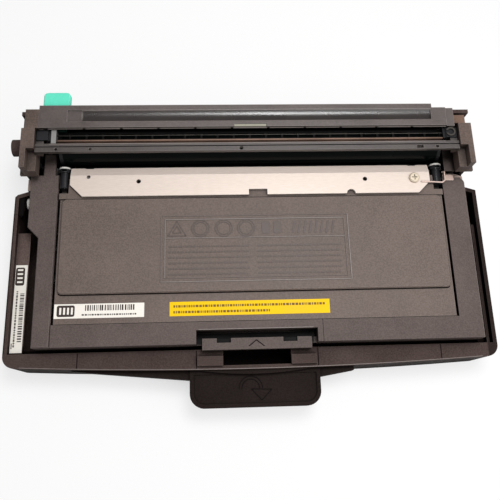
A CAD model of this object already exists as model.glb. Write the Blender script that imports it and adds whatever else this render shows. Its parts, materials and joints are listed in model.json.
import json
import math
import random
from collections import namedtuple

import bpy
from mathutils import Matrix, Vector


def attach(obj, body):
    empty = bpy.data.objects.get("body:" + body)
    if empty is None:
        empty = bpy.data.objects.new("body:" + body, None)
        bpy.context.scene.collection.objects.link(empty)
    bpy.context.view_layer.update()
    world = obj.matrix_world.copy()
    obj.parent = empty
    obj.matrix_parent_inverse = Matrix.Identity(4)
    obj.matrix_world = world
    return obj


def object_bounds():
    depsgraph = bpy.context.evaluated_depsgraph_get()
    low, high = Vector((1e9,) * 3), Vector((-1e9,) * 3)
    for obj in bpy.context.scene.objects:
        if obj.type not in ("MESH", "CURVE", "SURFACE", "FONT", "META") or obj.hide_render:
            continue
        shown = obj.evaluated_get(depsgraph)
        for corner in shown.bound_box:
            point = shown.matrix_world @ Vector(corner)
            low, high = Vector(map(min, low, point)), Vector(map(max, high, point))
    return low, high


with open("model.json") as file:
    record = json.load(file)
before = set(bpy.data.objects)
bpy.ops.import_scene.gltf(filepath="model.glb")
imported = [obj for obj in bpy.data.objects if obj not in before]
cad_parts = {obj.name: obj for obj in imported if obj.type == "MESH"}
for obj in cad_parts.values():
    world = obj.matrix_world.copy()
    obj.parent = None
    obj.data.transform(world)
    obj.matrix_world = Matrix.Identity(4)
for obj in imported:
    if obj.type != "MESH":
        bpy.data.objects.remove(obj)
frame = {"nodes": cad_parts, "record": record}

# Looks of the toner cartridge in its drum unit, in metres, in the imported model's frame
cad_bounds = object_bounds()
scene = bpy.context.scene

# Camera, fitted to the straight edges in the photograph
camera_place = (-0.01945, -0.10684, 0.38514)
camera_right = (0.9986, -0.0305, 0.0431)
camera_up = (0.0173, 0.9603, 0.2783)
camera_back = (-0.0499, -0.2772, 0.9595)
camera_lens = 43.2
camera_clip_start = 0.01
sensor_width = 36.0

# Prints and marks are given in millimetres, from here down to the light
mm = 0.001

# Heights of the faces that carry them
lid_top_z = 40.0
lid_label_z = 40.2
panel_z = 42.0
ring_z = 42.35
ledge_label_z = 26.2
bar_z = 36.0
dish_z = 25.0
beam_z = 30.0
rail_top_z = 58.0
rib_z = 58.45

# How far they stand above those faces
print_height = 0.03
mark_height = 0.25
rim_height = 0.03
seam_height = 0.02
rib_light_height = 0.04
pad_height = 0.35

# Badges on the white labels and the pale bars in them: front left corner, width and depth
badge_radius = 1.2
lid_badge = (-113.7, -45.2, 10.2, 6.6)
lid_badge_bars = [(x, -43.9, 1.1, 4.0) for x in (-112.2, -110.0, -107.8, -105.6)]
ledge_badge = (-143.2, -23.0, 5.4, 11.2)
ledge_badge_bars = [(-142.1, y, 3.2, 1.1) for y in (-21.4, -18.9, -16.4, -13.9)]

# Stripes of uneven width on the white labels: start, end, place across and reach
lid_stripes = (-97.6, -69.8, -41.9, 3.3)
ledge_stripes = (-57.0, -27.5, -139.6, 2.4)
stripe_widths = (0.3, 0.95)
stripe_gaps = (0.3, 0.85)

# Rows of short bars in place of words: front left corner, length and depth of the row, then the
# shortest and longest bar and the gap between bars
lid_row = (-99.4, -44.7, 32.0, 0.9)
lid_row_bars = (0.5, 1.3, 0.5)
yellow_rows = ((-47.0, -41.2, 89.0, 1.4), (-47.0, -44.6, 56.0, 1.4))
yellow_row_bars = (0.5, 1.7, 0.5)
ledge_row = (-142.9, -61.0, 0.8, 3.2)
ledge_row_bars = (0.5, 0.9, 0.5)

# Column of ticks beside the stripes of the ledge's label
tick_x = -141.9
tick_start_y = -60.0
tick_end_y = -26.0
tick_width = 0.9
tick_lengths = (0.5, 1.6)
tick_gap = 0.5

# Signs on the lid. Triangles: half width, front, rear and stroke. Hoops: radius and stroke.
triangle_x = -45.0
triangles = ((5.4, 1.8, 11.0, 0.5), (2.6, 3.6, 8.0, 0.4))
hoop_places_x = (-31.0, -17.0, -3.5)
hoop_y = 6.3
hoops = ((5.2, 0.5), (3.9, 0.4))
sign_front_y = 2.6
sign_depth = 7.6
plate_places_x = (6.0, 13.0)
plate_width = 4.6
plate_radius = 0.9
hatch_first_x = 24.0
hatch_pitch = 3.4
hatch_count = 8
hatch_width = 1.0
hatch_slant = 1.6

# Rows of bars under the signs: each column's left end and length, then the rows
lid_columns = ((-50.0, 48.0), (3.0, 50.0))
lid_rows_first_y = -5.4
lid_rows_pitch = 3.4
lid_rows_count = 6
lid_rows_depth = 0.9
lid_rows_bars = (0.5, 2.4, 0.7)

# The lid's double line: left, right, front and rear of the inner edge and the outer edge
ring_inner = (-51.95, 55.95, -23.95, 11.95)
ring_outer = (-54.35, 58.35, -26.35, 14.35)
ring_divider_y = 0.3
ring_inner_width = 0.4
ring_right_width = 0.45
ring_front_width = 0.35
ring_divider_width = 0.3

# Dark line in the corner under the lid panel's front edge
panel_seam = [
    (-113.75, -31.6), (-112.9, -32.35), (-111.6, -32.7), (115.6, -32.7), (116.7, -32.35), (117.4, -31.6)
]
panel_seam_width = 0.6

# Front beam: its bowed edge, the seams across it and the rubbed line along it
tray_front_y = -76.5
tray_front_bow = 4.2
half_tray = 146.0
beam_rear_y = -64.9
beam_seams_x = (-103.2, -34.3, 37.3, 111.2)
beam_seam_inset = 0.6
beam_seam_width = 0.55
beam_rim_reach = 136
beam_rim_step = 8
beam_rim_inset = 0.45
beam_rim_width = 0.32

# Grip: the rubbed rear edge of its recess and the arrow on its bar
grip_left = -32.5
grip_right = 34.0
grip_rear_y = -54.5
grip_rim_inset = 0.3
grip_rim_width = 0.35
grip_arrow = [(-3.6, -63.9), (0.8, -60.4), (5.4, -64.0)]
grip_arrow_width = 0.45

# Handle: the turning arrow in its dish
handle_arc_middle = (-2.8, -87.2)
handle_arc_radii = (6.9, 5.2)
handle_arc_width = 0.3
handle_arc_end = 185.0
handle_arc_steps = 24
handle_arrow = [(-2.4, -87.6), (9.6, -88.0), (3.5, -94.1), (-2.4, -87.6)]
handle_arrow_width = 0.35

# Rib on the slot's rear edge, in pieces
rib_first_x = -120.2
rib_pitch = 22.0
rib_length = 20.4
rib_count = 11
rib_y = 64.2
rib_light_depth = 0.28

# Rubbed line on the rail's rear lip, and the contact's pad on the right end cover
rail_light_reach = 119.0
rail_light_y = 54.55
rail_light_depth = 0.35
contact_pad = (123.4, 36.2, 4.9, 3.8)
contact_pad_radius = 0.6

# Rim over the drive's opening in the left wall, and the dark lip inside it
bridge_outline = [(-146.0, 20.9), (-143.6, 20.9), (-143.6, 34.2), (-144.3, 34.2), (-146.0, 32.5)]
bridge_bottom_z = 26.4
bridge_height = 3.6
lip_outline = [(-143.8, 20.9), (-140.9, 20.9), (-140.9, 33.6), (-143.8, 33.6)]
lip_bottom_z = 26.8
lip_height = 1.4

# Steps of round corners and of whole hoops
corner_steps = 6
hoop_steps = 36

# Light
world_strength = 0.32
key_energy = 2.45
key_size = 0.22
key_place = (0.077, 0.07, 0.62)
fill_energy = 1.7
fill_size = 0.6
fill_place = (0.42, -0.22, 0.50)

# Floor. The camera sees it glow white, but not where the object covers it: the glow grows from nothing
# to its full strength over this range of open sky.
floor_size = 3.0
floor_white = 0.93
floor_spread = 0.02
floor_patch_scale = 3.0
floor_patch_detail = 3.0
floor_roughness = 0.9
floor_glow = 0.7
glow_reach = 0.06
glow_samples = 8
glow_sky = (0.08, 0.42)

# Grain and soft patches of moulded plastic: spots per metre, detail, and the range of the noise that
# covers both tones. The grain's scale keeps the main faces between whole numbers of spots, where the
# noise would be flat.
grain_scale = 1508.5
grain_detail = 2.0
grain_range = (0.38, 0.62)
patch_scale = 38.0
patch_detail = 4.0
patch_range = (0.35, 0.65)
gloss_spread = 0.05

# Depths of the grain in metres
grain_depth = 0.00004
cover_grain_depth = 0.00008
metal_grain_depth = 0.00001
label_grain_depth = 0.000003
smooth_grain_depth = 0.000002

# Rounded edges, which look rubbed where the rounded normal leaves the flat one
edge_radius = 0.00035
cover_edge_radius = 0.0005
thin_edge_radius = 0.00004
edge_samples = 4
edge_range = (0.995, 0.93)
edge_share = 0.7

# Deep gaps look darker up to this far from the next surface
gap_reach = 0.016
gap_samples = 6
gap_range = (0.22, 0.78)
gap_tone = 0.10
no_gap_tone = 1.0


def new_material(name):
    """A new node material with its tree, shader and output."""
    material = bpy.data.materials.new(name)
    material.use_nodes = True
    tree = material.node_tree
    tree.nodes.clear()
    shader = tree.nodes.new("ShaderNodeBsdfPrincipled")
    output = tree.nodes.new("ShaderNodeOutputMaterial")
    tree.links.new(shader.outputs["BSDF"], output.inputs["Surface"])
    return material, tree, shader, output


def add_noise(tree, scale, detail, stretch=None):
    """Noise in the part's own coordinates, drawn out along an axis where stretch says so."""
    place = tree.nodes.new("ShaderNodeTexCoord")
    noise = tree.nodes.new("ShaderNodeTexNoise")
    noise.inputs["Scale"].default_value = scale
    noise.inputs["Detail"].default_value = detail
    source = place.outputs["Object"]
    if stretch:
        mapping = tree.nodes.new("ShaderNodeMapping")
        mapping.inputs["Scale"].default_value = stretch
        tree.links.new(source, mapping.inputs["Vector"])
        source = mapping.outputs["Vector"]
    tree.links.new(source, noise.inputs["Vector"])
    return noise.outputs["Fac"]


def add_range(tree, value, low, high, new_low, new_high):
    """The value's range from low to high becomes new_low to new_high."""
    node = tree.nodes.new("ShaderNodeMapRange")
    node.inputs["From Min"].default_value = low
    node.inputs["From Max"].default_value = high
    node.inputs["To Min"].default_value = new_low
    node.inputs["To Max"].default_value = new_high
    tree.links.new(value, node.inputs["Value"])
    return node.outputs["Result"]


def add_mix(tree, factor, first, second):
    """Mix of two colours, each a tuple or a socket."""
    node = tree.nodes.new("ShaderNodeMix")
    node.data_type = "RGBA"
    tree.links.new(factor, node.inputs["Factor"])
    for socket, value in ((node.inputs["A"], first), (node.inputs["B"], second)):
        if isinstance(value, tuple):
            socket.default_value = (*value, 1.0)
        else:
            tree.links.new(value, socket)
    return node.outputs["Result"]


def add_product(tree, first, second):
    """Product of two values."""
    node = tree.nodes.new("ShaderNodeMath")
    node.operation = "MULTIPLY"
    tree.links.new(first, node.inputs[0])
    tree.links.new(second, node.inputs[1])
    return node.outputs["Value"]


def add_blend(tree, share, first, second):
    """First value with a share of the second in its place."""
    node = tree.nodes.new("ShaderNodeMix")
    node.data_type = "FLOAT"
    node.inputs["Factor"].default_value = share
    tree.links.new(first, node.inputs["A"])
    tree.links.new(second, node.inputs["B"])
    return node.outputs["Result"]


def add_tint(tree, factor, color, tint):
    """Colour times tint where the factor is 1."""
    node = tree.nodes.new("ShaderNodeMix")
    node.data_type = "RGBA"
    node.blend_type = "MULTIPLY"
    tree.links.new(factor, node.inputs["Factor"])
    tree.links.new(color, node.inputs["A"])
    node.inputs["B"].default_value = (tint, tint, tint, 1.0)
    return node.outputs["Result"]


def add_open_sky(tree, reach, samples):
    """Share of the sky that a point sees, up to reach."""
    node = tree.nodes.new("ShaderNodeAmbientOcclusion")
    node.samples = samples
    node.inputs["Distance"].default_value = reach
    return node.outputs["AO"]


def add_edge_light(tree, normal, color, worn):
    """Lighter tone where the rounded normal leaves the flat one, as along a rubbed edge."""
    geometry = tree.nodes.new("ShaderNodeNewGeometry")
    dot = tree.nodes.new("ShaderNodeVectorMath")
    dot.operation = "DOT_PRODUCT"
    tree.links.new(normal, dot.inputs[0])
    tree.links.new(geometry.outputs["True Normal"], dot.inputs[1])
    factor = add_range(tree, dot.outputs["Value"], *edge_range, 0.0, edge_share)
    return add_mix(tree, factor, color, worn)


def add_gap_tone(tree, color, tone):
    """Deeper tone in narrow gaps and corners, where dust and toner lie."""
    sky = add_open_sky(tree, gap_reach, gap_samples)
    return add_tint(tree, add_range(tree, sky, *gap_range, 1.0, 0.0), color, tone)


def add_zone(tree, zone):
    """1 inside the zone's box in the part's own coordinates, fading to 0 over soft."""
    place = tree.nodes.new("ShaderNodeTexCoord")
    split = tree.nodes.new("ShaderNodeSeparateXYZ")
    tree.links.new(place.outputs["Object"], split.inputs["Vector"])
    mask = None
    for axis, low, high in zip("XYZ", zone.lowest, zone.highest):
        for start, end in ((low - zone.soft, low), (high + zone.soft, high)):
            side = add_range(tree, split.outputs[axis], start, end, 0.0, 1.0)
            mask = side if mask is None else add_product(tree, mask, side)
    return mask


def finish(name, dark, light, worn, roughness, metallic=0.0, depth=grain_depth, stretch=None,
           specular=0.5, bending=1.45, round_edges=edge_radius, speckled=0.4, zones=(), gaps=gap_tone):
    """Material of two close tones in soft patches, with a fine grain, uneven gloss and rubbed edges."""
    material, tree, shader, _ = new_material(name)
    patch = add_range(tree, add_noise(tree, patch_scale, patch_detail, stretch), *patch_range, 0.0, 1.0)
    grain = add_noise(tree, grain_scale, grain_detail, stretch)
    speckle = add_range(tree, grain, *grain_range, 0.0, 1.0)
    color = add_mix(tree, add_blend(tree, speckled, patch, speckle), dark, light)
    bevel = tree.nodes.new("ShaderNodeBevel")
    bevel.samples = edge_samples
    bevel.inputs["Radius"].default_value = round_edges
    color = add_edge_light(tree, bevel.outputs["Normal"], color, worn)
    gloss = add_range(tree, patch, 0.0, 1.0, roughness - gloss_spread, roughness + gloss_spread)
    for zone in zones:
        mask = add_zone(tree, zone)
        color = add_tint(tree, mask, color, zone.tint)
        if zone.smooth:
            gloss = add_product(tree, gloss, add_range(tree, mask, 0.0, 1.0, 1.0, zone.smooth))
    if gaps < no_gap_tone:
        color = add_gap_tone(tree, color, gaps)
    tree.links.new(color, shader.inputs["Base Color"])
    tree.links.new(gloss, shader.inputs["Roughness"])
    bump = tree.nodes.new("ShaderNodeBump")
    bump.inputs["Strength"].default_value = 1.0
    bump.inputs["Distance"].default_value = depth
    tree.links.new(grain, bump.inputs["Height"])
    tree.links.new(bevel.outputs["Normal"], bump.inputs["Normal"])
    tree.links.new(bump.outputs["Normal"], shader.inputs["Normal"])
    shader.inputs["Metallic"].default_value = metallic
    shader.inputs["Specular IOR Level"].default_value = specular
    shader.inputs["IOR"].default_value = bending
    return material


# Zones of a moulding with a tone or gloss of their own: the box's corners, how softly it ends, the tint
# that multiplies the colour and, where given, the factor that multiplies the roughness
Zone = namedtuple("Zone", "lowest highest soft tint smooth", defaults=(None,))
handle_zone = Zone((-0.150, -0.110, 0.0), (0.150, -0.060, 0.0285), 0.0008, 0.27)
right_rim_zone = Zone((0.1405, -0.080, 0.0), (0.150, 0.060, 0.040), 0.0010, 0.40)
left_ledge_zone = Zone((-0.1437, -0.0640, 0.0253), (-0.1335, 0.0150, 0.0266), 0.0004, 1.9)
left_rim_zone = Zone((-0.150, -0.064, 0.0265), (-0.1455, 0.060, 0.040), 0.0006, 0.38)
rail_zone = Zone((-0.140, 0.0490, 0.0550), (0.140, 0.0556, 0.0605), 0.0004, 0.62)
inner_green_zone = Zone((-0.140, 0.030, 0.040), (-0.090, 0.0755, 0.0640), 0.0010, 0.06)
grip_pit_zone = Zone((-0.0345, -0.0620, 0.0100), (0.0345, -0.0550, 0.0353), 0.0004, 0.05)
trough_zone = Zone((-0.0995, 0.0688, 0.0560), (0.1115, 0.0755, 0.0594), 0.0006, 0.28, 0.58)

# Settings that several looks share
moulded = dict(speckled=0.6, specular=0.4)
thin = dict(round_edges=thin_edge_radius, gaps=no_gap_tone)

looks = {
    "frame_plastic": dict(
        dark=(0.050, 0.034, 0.030), light=(0.092, 0.067, 0.060), worn=(0.16, 0.125, 0.112),
        roughness=0.50, bending=1.07, **moulded,
        zones=(left_ledge_zone, handle_zone, right_rim_zone, left_rim_zone)
    ),
    "cap_plastic": dict(
        dark=(0.073, 0.052, 0.044), light=(0.146, 0.106, 0.089), worn=(0.24, 0.195, 0.175),
        roughness=0.48, bending=1.35, **moulded
    ),
    "cover_plastic": dict(
        dark=(0.050, 0.037, 0.033), light=(0.104, 0.079, 0.071), worn=(0.34, 0.30, 0.28),
        roughness=0.48, speckled=0.6, specular=1.0, depth=cover_grain_depth,
        round_edges=cover_edge_radius, zones=(trough_zone, rail_zone)
    ),
    "case_plastic": dict(
        dark=(0.110, 0.082, 0.071), light=(0.178, 0.135, 0.117), worn=(0.32, 0.27, 0.25),
        roughness=0.54, speckled=0.65, specular=0.4, bending=1.35
    ),
    "shell_plastic": dict(
        dark=(0.082, 0.063, 0.057), light=(0.139, 0.108, 0.099), worn=(0.25, 0.21, 0.195),
        roughness=0.52, bending=1.20, zones=(grip_pit_zone,), **moulded
    ),
    "mark_plastic": dict(
        dark=(0.078, 0.057, 0.049), light=(0.108, 0.080, 0.070), worn=(0.12, 0.09, 0.08),
        roughness=0.52, **thin
    ),
    "rim_plastic": dict(
        dark=(0.15, 0.12, 0.11), light=(0.22, 0.18, 0.165), worn=(0.24, 0.20, 0.185),
        roughness=0.45, **thin
    ),
    "black_plastic": dict(
        dark=(0.012, 0.012, 0.014), light=(0.022, 0.022, 0.025), worn=(0.05, 0.05, 0.055),
        roughness=0.24, depth=metal_grain_depth
    ),
    "grey_plastic": dict(
        dark=(0.22, 0.215, 0.21), light=(0.30, 0.29, 0.285), worn=(0.42, 0.41, 0.40), roughness=0.45
    ),
    "pale_plastic": dict(
        dark=(0.26, 0.25, 0.19), light=(0.36, 0.34, 0.27), worn=(0.50, 0.48, 0.40), roughness=0.42
    ),
    "white_plastic": dict(
        dark=(0.68, 0.65, 0.60), light=(0.78, 0.76, 0.71), worn=(0.86, 0.85, 0.82), roughness=0.42
    ),
    "green_plastic": dict(
        dark=(0.106, 0.70, 0.485), light=(0.138, 0.79, 0.575), worn=(0.34, 0.95, 0.80),
        roughness=0.42, specular=0.35, zones=(inner_green_zone,)
    ),
    "plate_steel": dict(
        dark=(0.65, 0.55, 0.485), light=(0.74, 0.635, 0.565), worn=(0.94, 0.90, 0.86),
        roughness=0.50, metallic=0.25, stretch=(0.15, 1.0, 1.0), depth=metal_grain_depth,
        gaps=no_gap_tone
    ),
    "screw_steel": dict(
        dark=(0.66, 0.55, 0.41), light=(0.80, 0.69, 0.54), worn=(0.94, 0.88, 0.78),
        roughness=0.42, metallic=0.3, depth=metal_grain_depth, gaps=0.35
    ),
    "shaft_steel": dict(
        dark=(0.48, 0.46, 0.44), light=(0.60, 0.58, 0.56), worn=(0.75, 0.74, 0.72),
        roughness=0.30, metallic=0.9, depth=metal_grain_depth
    ),
    "dark_steel": dict(
        dark=(0.010, 0.009, 0.009), light=(0.018, 0.016, 0.015), worn=(0.03, 0.027, 0.026),
        roughness=0.50, metallic=0.3, specular=0.2, depth=metal_grain_depth,
        round_edges=thin_edge_radius
    ),
    "spring_steel": dict(
        dark=(0.30, 0.28, 0.26), light=(0.42, 0.40, 0.37), worn=(0.60, 0.58, 0.56),
        roughness=0.40, metallic=0.9, depth=metal_grain_depth
    ),
    "wire_steel": dict(
        dark=(0.05, 0.045, 0.04), light=(0.09, 0.08, 0.07), worn=(0.12, 0.11, 0.10),
        roughness=0.45, metallic=0.6, depth=smooth_grain_depth, round_edges=thin_edge_radius
    ),
    "contact_metal": dict(
        dark=(0.60, 0.43, 0.37), light=(0.76, 0.58, 0.51), worn=(0.90, 0.78, 0.72),
        roughness=0.40, metallic=0.6, depth=metal_grain_depth
    ),
    "strip_metal": dict(
        dark=(0.16, 0.095, 0.068), light=(0.28, 0.175, 0.130), worn=(0.42, 0.30, 0.24),
        roughness=0.42, metallic=0.5, depth=metal_grain_depth, round_edges=thin_edge_radius
    ),
    "drum_coating": dict(
        dark=(0.002, 0.003, 0.003), light=(0.003, 0.005, 0.005), worn=(0.01, 0.012, 0.012),
        roughness=0.24, specular=0.12, depth=smooth_grain_depth
    ),
    "roller_rubber": dict(
        dark=(0.012, 0.012, 0.012), light=(0.020, 0.020, 0.020), worn=(0.03, 0.03, 0.03), roughness=0.45
    ),
    "roller_foam": dict(
        dark=(0.018, 0.018, 0.018), light=(0.034, 0.034, 0.034), worn=(0.04, 0.04, 0.04), roughness=0.85
    ),
    "brush_fabric": dict(
        dark=(0.012, 0.012, 0.012), light=(0.026, 0.026, 0.026), worn=(0.03, 0.03, 0.03), roughness=0.90
    ),
    "film": dict(
        dark=(0.50, 0.50, 0.48), light=(0.58, 0.58, 0.56), worn=(0.7, 0.7, 0.7),
        roughness=0.25, depth=smooth_grain_depth, round_edges=thin_edge_radius
    ),
    "label_white": dict(
        dark=(0.87, 0.82, 0.75), light=(0.93, 0.89, 0.82), worn=(0.95, 0.94, 0.92),
        roughness=0.45, specular=0.25, depth=label_grain_depth, **thin
    ),
    "label_yellow": dict(
        dark=(0.86, 0.53, 0.001), light=(0.91, 0.59, 0.002), worn=(0.98, 0.84, 0.30),
        roughness=0.50, specular=0.15, depth=label_grain_depth, **thin
    ),
    "print_black": dict(
        dark=(0.040, 0.028, 0.024), light=(0.060, 0.044, 0.038), worn=(0.07, 0.06, 0.05),
        roughness=0.50, specular=0.2, **thin
    ),
    "print_brown": dict(
        dark=(0.14, 0.070, 0.010), light=(0.22, 0.120, 0.016), worn=(0.26, 0.15, 0.03),
        roughness=0.50, specular=0.2, **thin
    ),
    "seam_dark": dict(
        dark=(0.006, 0.005, 0.005), light=(0.010, 0.008, 0.008), worn=(0.02, 0.02, 0.02),
        roughness=0.80, bending=1.1, **thin
    ),
    "light_edge": dict(
        dark=(0.17, 0.140, 0.128), light=(0.27, 0.228, 0.210), worn=(0.28, 0.24, 0.22),
        roughness=0.45, **thin
    ),
}
materials = {name: finish(name, **look) for name, look in looks.items()}

# Nodes whose look differs from the rest of their slot
own_looks = {
    "charge_housing": "cover_plastic",
    "charge_shield": "strip_metal",
    "charge_wire": "wire_steel",
    "wire_spring": "wire_steel",
    "high_voltage_contact": "strip_metal",
    "drum_gear": "black_plastic",
    "gear_cover": "shell_plastic",
    "right_end_cover": "shell_plastic",
    "front_grip": "shell_plastic",
    "cap_left": "cap_plastic",
    "cap_right": "cap_plastic",
    "blade_screw": "screw_steel",
}

for part in frame["record"]["subparts"]:
    node = frame["nodes"][part["node"]]
    look = own_looks.get(part["node"], part["material_slot"])
    node.data.materials.clear()
    node.data.materials.append(materials[look])


class Marks:
    """Flat shapes on one face, gathered into one mesh; sizes in millimetres."""

    def __init__(self, base_z, height):
        self.base_z = base_z
        self.height = height
        self.points = []
        self.faces = []

    def outline(self, corners):
        """Raised shape with the given outline, drawn anticlockwise."""
        first = len(self.points)
        count = len(corners)
        for z in (self.base_z, self.base_z + self.height):
            self.points += [(x * mm, y * mm, z * mm) for x, y in corners]
        self.faces.append([first + count + index for index in range(count)])
        self.faces.append([first + index for index in reversed(range(count))])
        for index in range(count):
            here = first + index
            after = first + (index + 1) % count
            self.faces.append([here, after, after + count, here + count])

    def bar(self, x, y, width, depth, slant=0.0):
        """Bar with its front left corner at x and y."""
        self.outline([(x, y), (x + width, y), (x + width + slant, y + depth), (x + slant, y + depth)])

    def line(self, start, end, width):
        """Straight stroke between two points."""
        run_x = end[0] - start[0]
        run_y = end[1] - start[1]
        reach = math.hypot(run_x, run_y)
        side_x = -run_y / reach * width / 2
        side_y = run_x / reach * width / 2
        self.outline([
            (start[0] - side_x, start[1] - side_y),
            (end[0] - side_x, end[1] - side_y),
            (end[0] + side_x, end[1] + side_y),
            (start[0] + side_x, start[1] + side_y),
        ])

    def path(self, points, width):
        """Run of strokes through the points."""
        for start, end in zip(points, points[1:]):
            self.line(start, end, width)

    def rounded(self, x, y, width, depth, radius):
        """Rounded box with its front left corner at x and y."""
        corners = []
        for middle_x, middle_y, turn in (
            (x + width - radius, y + radius, -90),
            (x + width - radius, y + depth - radius, 0),
            (x + radius, y + depth - radius, 90),
            (x + radius, y + radius, 180),
        ):
            for step in range(corner_steps + 1):
                angle = math.radians(turn + 90 * step / corner_steps)
                corners.append((middle_x + radius * math.cos(angle), middle_y + radius * math.sin(angle)))
        self.outline(corners)

    def arc(self, x, y, radius, width, end=360.0, steps=hoop_steps):
        """Ring, or part of one from the right to end, as short strokes that share their corners."""
        first = len(self.points)
        whole = end >= 360.0
        count = steps if whole else steps + 1
        for step in range(count):
            angle = math.radians(end * step / steps)
            for reach in (radius - width / 2, radius + width / 2):
                for z in (self.base_z, self.base_z + self.height):
                    self.points.append(
                        ((x + reach * math.cos(angle)) * mm, (y + reach * math.sin(angle)) * mm, z * mm)
                    )
        for step in range(steps):
            now = first + 4 * step
            then = first + 4 * ((step + 1) % count)
            self.faces.append([now + 1, now + 3, then + 3, then + 1])
            self.faces.append([now, then, then + 2, now + 2])
            self.faces.append([now + 2, then + 2, then + 3, now + 3])
            self.faces.append([now, now + 1, then + 1, then])
        if not whole:
            last = first + 4 * (count - 1)
            self.faces.append([first, first + 2, first + 3, first + 1])
            self.faces.append([last, last + 1, last + 3, last + 2])

    def dashes(self, row, bars, draw):
        """Row of short bars in place of words."""
        x, y, length, depth = row
        shortest, longest, gap = bars
        place = x
        while place < x + length - shortest:
            width = min(draw.uniform(shortest, longest), x + length - place)
            self.bar(place, y, width, depth)
            place += width + gap

    def stripes(self, stripes, draw, along_y=False):
        """Row of bars of uneven width."""
        start, end, across, reach = stripes
        place = start
        while place < end:
            width = draw.uniform(*stripe_widths)
            if along_y:
                self.bar(across, place, reach, width)
            else:
                self.bar(place, across, width, reach)
            place += width + draw.uniform(*stripe_gaps)

    def place(self, name, look, slot):
        """Makes the piece, on the part's frame body."""
        mesh = bpy.data.meshes.new(name)
        mesh.from_pydata(self.points, [], self.faces)
        mesh.validate()
        mesh.materials.append(materials[look])
        piece = bpy.data.objects.new(name, mesh)
        scene.collection.objects.link(piece)
        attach(piece, "frame")


def add_label_prints():
    """Plain fields and bars on the three labels."""
    draw = random.Random(11)
    marks = Marks(lid_label_z, print_height)
    marks.rounded(*lid_badge, badge_radius)
    marks.stripes(lid_stripes, draw)
    marks.dashes(lid_row, lid_row_bars, draw)
    marks.place("white_label_print", "print_black", "label_white")
    marks = Marks(lid_label_z + print_height, print_height)
    for bar in lid_badge_bars:
        marks.bar(*bar)
    marks.place("white_label_field", "label_white", "label_white")
    marks = Marks(lid_label_z, print_height)
    for row in yellow_rows:
        marks.dashes(row, yellow_row_bars, draw)
    marks.place("yellow_label_print", "print_brown", "label_yellow")
    marks = Marks(ledge_label_z, print_height)
    marks.rounded(*ledge_badge, badge_radius)
    marks.dashes(ledge_row, ledge_row_bars, draw)
    marks.stripes(ledge_stripes, draw, along_y=True)
    y = tick_start_y
    while y < tick_end_y:
        length = draw.uniform(*tick_lengths)
        marks.bar(tick_x, y, tick_width, length)
        y += length + tick_gap
    marks.place("side_label_print", "print_black", "label_white")
    marks = Marks(ledge_label_z + print_height, print_height)
    for bar in ledge_badge_bars:
        marks.bar(*bar)
    marks.place("side_label_field", "label_white", "label_white")


def add_lid_marks():
    """Raised signs and rows of bars on the lid, the light on its double line and the panel's seam."""
    draw = random.Random(23)
    marks = Marks(panel_z, mark_height)
    for half, front, rear, width in triangles:
        left = (triangle_x - half, front)
        marks.path([left, (triangle_x + half, front), (triangle_x, rear), left], width)
    for x in hoop_places_x:
        for radius, width in hoops:
            marks.arc(x, hoop_y, radius, width)
    for x in plate_places_x:
        marks.rounded(x, sign_front_y, plate_width, sign_depth, plate_radius)
    for step in range(hatch_count):
        x = hatch_first_x + hatch_pitch * step
        marks.bar(x, sign_front_y, hatch_width, sign_depth, slant=hatch_slant)
    for x, length in lid_columns:
        for row in range(lid_rows_count):
            y = lid_rows_first_y - lid_rows_pitch * row
            marks.dashes((x, y, length, lid_rows_depth), lid_rows_bars, draw)
    marks.place("lid_marks", "mark_plastic", "case_plastic")
    marks = Marks(ring_z, rim_height)
    left, right, front, rear = ring_inner
    marks.path([(left, front), (left, rear), (right, rear)], ring_inner_width)
    divider = [(left, ring_divider_y), (right, ring_divider_y)]
    left, right, front, rear = ring_outer
    marks.line((right, front), (right, rear), ring_right_width)
    marks.line((left, front), (right, front), ring_front_width)
    marks.path(divider, ring_divider_width)
    marks.place("lid_rim_light", "light_edge", "case_plastic")
    marks = Marks(lid_top_z, rim_height)
    marks.path(panel_seam, panel_seam_width)
    marks.place("panel_seam", "seam_dark", "case_plastic")


def front_edge(x, inset):
    """Point on the beam's bowed front edge, inset towards the rear."""
    return x, tray_front_y + tray_front_bow * (x / half_tray) ** 2 + inset


def add_front_marks():
    """Seams of the beam, rubbed edges and the marks on the grip and the handle."""
    marks = Marks(beam_z, seam_height)
    for x in beam_seams_x:
        marks.line(front_edge(x, beam_seam_inset), (x, beam_rear_y), beam_seam_width)
    marks.place("beam_seams", "seam_dark", "frame_plastic")
    marks = Marks(beam_z, rim_height)
    places = range(-beam_rim_reach, beam_rim_reach + 1, beam_rim_step)
    marks.path([front_edge(x, beam_rim_inset) for x in places], beam_rim_width)
    marks.place("beam_rim", "rim_plastic", "frame_plastic")
    marks = Marks(lid_top_z, rim_height)
    y = grip_rear_y + grip_rim_inset
    marks.line((grip_left, y), (grip_right, y), grip_rim_width)
    marks.place("grip_rim", "rim_plastic", "case_plastic")
    marks = Marks(bar_z, mark_height)
    marks.path(grip_arrow, grip_arrow_width)
    marks.place("grip_mark", "seam_dark", "case_plastic")
    marks = Marks(dish_z, mark_height)
    for radius in handle_arc_radii:
        marks.arc(*handle_arc_middle, radius, handle_arc_width, handle_arc_end, handle_arc_steps)
    marks.path(handle_arrow, handle_arrow_width)
    marks.place("handle_mark", "seam_dark", "frame_plastic")


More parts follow.
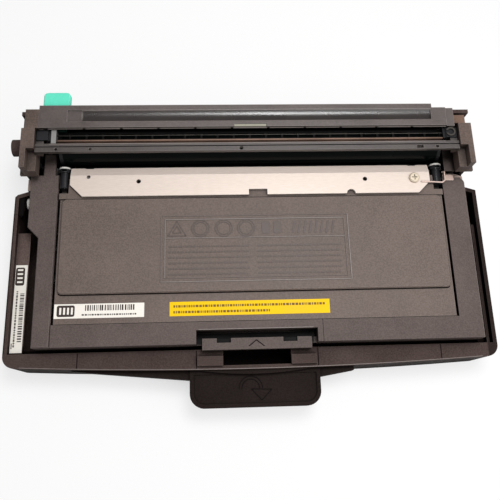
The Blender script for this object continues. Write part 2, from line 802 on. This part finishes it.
def add_slot_and_wall_details():
    """Rubbed rib and rail, the contact's pad, and the rim and lip of the drive's opening."""
    marks = Marks(rib_z, rib_light_height)
    for index in range(rib_count):
        marks.bar(rib_first_x + index * rib_pitch, rib_y, rib_length, rib_light_depth)
    marks.place("slot_rib_light", "light_edge", "frame_plastic")
    marks = Marks(rail_top_z, rim_height)
    marks.bar(-rail_light_reach, rail_light_y, 2 * rail_light_reach, rail_light_depth)
    marks.place("rail_rim_light", "light_edge", "frame_plastic")
    marks = Marks(lid_top_z, pad_height)
    marks.rounded(*contact_pad, contact_pad_radius)
    marks.place("contact_pad", "contact_metal", "contact_metal")
    marks = Marks(lip_bottom_z, lip_height)
    marks.outline(lip_outline)
    marks.place("drive_opening_lip", "seam_dark", "frame_plastic")
    marks = Marks(bridge_bottom_z, bridge_height)
    marks.outline(bridge_outline)
    marks.place("drive_opening_rim", "frame_plastic", "frame_plastic")


def add_floor():
    """Pale floor, which keeps the object's shadow."""
    material, tree, shader, output = new_material("floor_pale")
    patch = add_noise(tree, floor_patch_scale, floor_patch_detail)
    color = add_mix(tree, patch, (floor_white,) * 3, (floor_white + floor_spread,) * 3)
    tree.links.new(color, shader.inputs["Base Color"])
    shader.inputs["Roughness"].default_value = floor_roughness
    glow = tree.nodes.new("ShaderNodeEmission")
    blend = tree.nodes.new("ShaderNodeMixShader")
    path = tree.nodes.new("ShaderNodeLightPath")
    sky = add_open_sky(tree, glow_reach, glow_samples)
    uncovered = add_range(tree, sky, *glow_sky, 0.0, floor_glow)
    share = add_product(tree, path.outputs["Is Camera Ray"], uncovered)
    tree.links.new(share, blend.inputs["Fac"])
    tree.links.new(shader.outputs["BSDF"], blend.inputs[1])
    tree.links.new(glow.outputs["Emission"], blend.inputs[2])
    tree.links.new(blend.outputs["Shader"], output.inputs["Surface"])
    mesh = bpy.data.meshes.new("floor")
    half = floor_size / 2
    corners = [(-half, -half, 0), (half, -half, 0), (half, half, 0), (-half, half, 0)]
    mesh.from_pydata(corners, [], [(0, 1, 2, 3)])
    mesh.materials.append(material)
    floor = bpy.data.objects.new("floor", mesh)
    floor.location.z = cad_bounds[0].z
    scene.collection.objects.link(floor)


def add_lights():
    """Plain soft light from two square lamps."""
    for name, place, size, energy in (
        ("key_light", key_place, key_size, key_energy),
        ("fill_light", fill_place, fill_size, fill_energy),
    ):
        data = bpy.data.lights.new(name, "AREA")
        data.size = size
        data.energy = energy
        light = bpy.data.objects.new(name, data)
        light.location = place
        light.rotation_euler = (-Vector(place)).to_track_quat("-Z", "Y").to_euler()
        scene.collection.objects.link(light)


def add_world():
    """Even white light, seen as pure white by the camera and through glass."""
    world = bpy.data.worlds.new("studio")
    scene.world = world
    world.use_nodes = True
    tree = world.node_tree
    tree.nodes.clear()
    background = tree.nodes.new("ShaderNodeBackground")
    output = tree.nodes.new("ShaderNodeOutputWorld")
    path = tree.nodes.new("ShaderNodeLightPath")
    seen = tree.nodes.new("ShaderNodeMath")
    seen.operation = "MAXIMUM"
    tree.links.new(path.outputs["Is Camera Ray"], seen.inputs[0])
    tree.links.new(path.outputs["Is Transmission Ray"], seen.inputs[1])
    strength = add_range(tree, seen.outputs["Value"], 0.0, 1.0, world_strength, 1.0)
    tree.links.new(strength, background.inputs["Strength"])
    tree.links.new(background.outputs["Background"], output.inputs["Surface"])
    background.inputs["Color"].default_value = (1.0, 1.0, 1.0, 1.0)


def add_camera():
    """The photograph's camera."""
    data = bpy.data.cameras.new("camera")
    data.lens = camera_lens
    data.sensor_width = sensor_width
    data.sensor_fit = "HORIZONTAL"
    data.clip_start = camera_clip_start
    camera = bpy.data.objects.new("camera", data)
    turn = Matrix((camera_right, camera_up, camera_back)).transposed()
    camera.matrix_world = Matrix.Translation(camera_place) @ turn.to_4x4()
    scene.collection.objects.link(camera)
    scene.camera = camera


add_label_prints()
add_lid_marks()
add_front_marks()
add_slot_and_wall_details()
add_floor()
add_lights()
add_world()
add_camera()
scene.view_settings.view_transform = "Standard"
